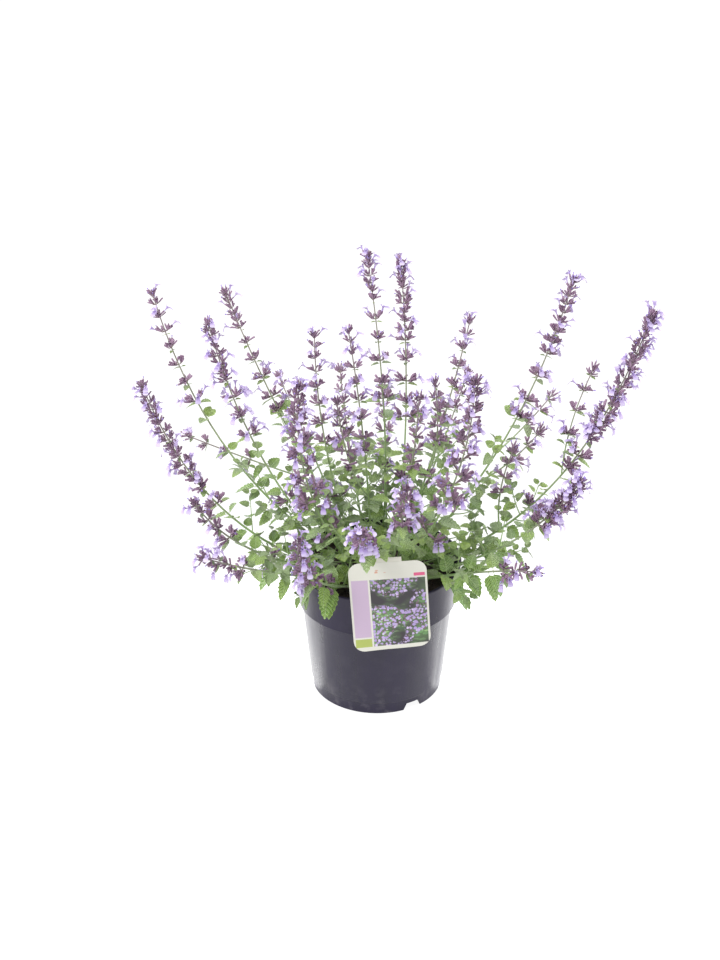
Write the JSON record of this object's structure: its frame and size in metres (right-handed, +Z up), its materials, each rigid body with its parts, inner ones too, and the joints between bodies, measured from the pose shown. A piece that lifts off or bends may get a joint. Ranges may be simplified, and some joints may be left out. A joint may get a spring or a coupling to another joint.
{
  "type": "catmint plant in a nursery pot",
  "caption": "Flowering garden catmint: leafy square stems with whorled lavender flower spikes, rooted in dark peat in a round plastic nursery pot with a folded hang label.",
  "frame": {"origin": "middle of the flat under the pot's floor, on the ground", "axes": "+Z up along the pot's axis, +X along the plant's widest spread, -Y towards the label and the viewer"},
  "size_m": [0.5528, 0.4277, 0.4884],
  "materials": {
    "pot_plastic": "satin moulded, dark anthracite with a blue-violet cast",
    "peat": "matt crumbly peat",
    "label_card": "thin printed plastic card, semi-gloss",
    "green": "downy grey-green leaf and stem",
    "flower_purple": "downy dark purple calyces with lavender petals"
  },
  "bodies": {
    "root": {"pot": "pot_plastic", "soil": "peat", "label": "label_card", "left_far_stem": "green", "left_back_stem": "green", "left_inner_stem": "green", "left_low_stem": "green", "left_front_stem": "green", "left_corner_stem": "green", "front_left_stem": "green", "thick_left_stem": "green", "middle_left_stem": "green", "middle_stem": "green", "tall_back_stem": "green", "tall_right_stem": "green", "right_inner_stem": "green", "thick_right_stem": "green", "right_back_stem": "green", "right_far_stem": "green", "right_front_stem": "green", "right_corner_stem": "green", "front_stem": "green", "front_right_stem": "green", "back_left_stem": "green", "back_low_stem": "green", "back_corner_stem": "green", "back_right_stem": "green", "left_far_spike": "flower_purple", "left_back_spike": "flower_purple", "left_inner_spike": "flower_purple", "left_low_spike": "flower_purple", "left_front_spike": "flower_purple", "left_corner_spike": "flower_purple", "front_left_spike": "flower_purple", "thick_left_spike": "flower_purple", "middle_left_spike": "flower_purple", "middle_spike": "flower_purple", "tall_back_spike": "flower_purple", "tall_right_spike": "flower_purple", "right_inner_spike": "flower_purple", "thick_right_spike": "flower_purple", "right_back_spike": "flower_purple", "right_far_spike": "flower_purple", "right_front_spike": "flower_purple", "right_corner_spike": "flower_purple", "front_spike": "flower_purple", "front_right_spike": "flower_purple", "back_left_spike": "flower_purple", "back_low_spike": "flower_purple", "back_corner_spike": "flower_purple", "back_right_spike": "flower_purple", "left_side_spike": "flower_purple", "centre_left_spike": "flower_purple", "centre_right_spike": "flower_purple", "inner_side_spike": "flower_purple", "far_side_spike": "flower_purple", "back_side_spike": "flower_purple", "low_side_spike": "flower_purple", "rise_side_spike": "flower_purple"}
  },
  "joints": []
}
